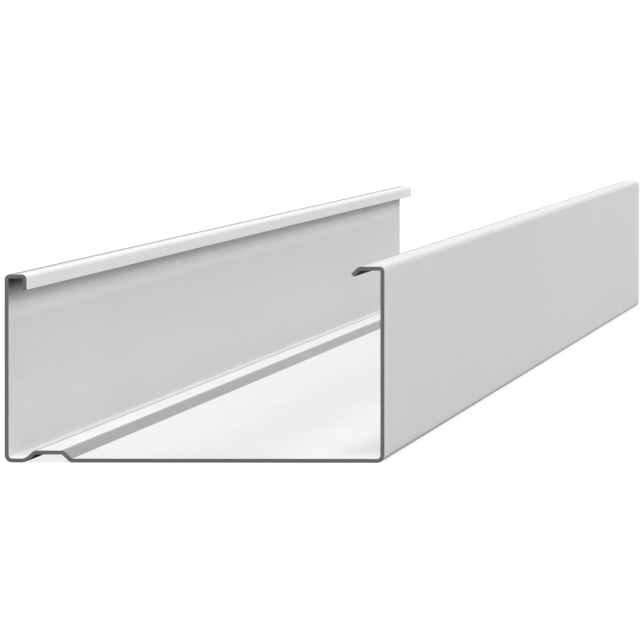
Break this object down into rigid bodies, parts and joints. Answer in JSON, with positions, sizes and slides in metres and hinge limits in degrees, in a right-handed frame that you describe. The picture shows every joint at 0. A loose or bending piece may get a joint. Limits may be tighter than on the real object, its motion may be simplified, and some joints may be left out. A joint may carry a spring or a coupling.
{
  "type": "drywall metal stud",
  "caption": "Galvanised sheet-steel wall stud: a roll-formed channel with a hooked lip, a canted lip and a stiffening bead along its web, for framing plasterboard walls.",
  "frame": {"origin": "on the level of the web's underside, midway along the stud and midway between the flanges' outer faces", "axes": "+Y along the stud, +Z from the web up to the open side, +X from the narrow flange with the hook to the wide flange with the canted lip"},
  "size_m": [0.095, 2.4, 0.049],
  "materials": {
    "galvanised_steel": "satin"
  },
  "bodies": {
    "root": {"stud": "galvanised_steel"}
  },
  "joints": []
}
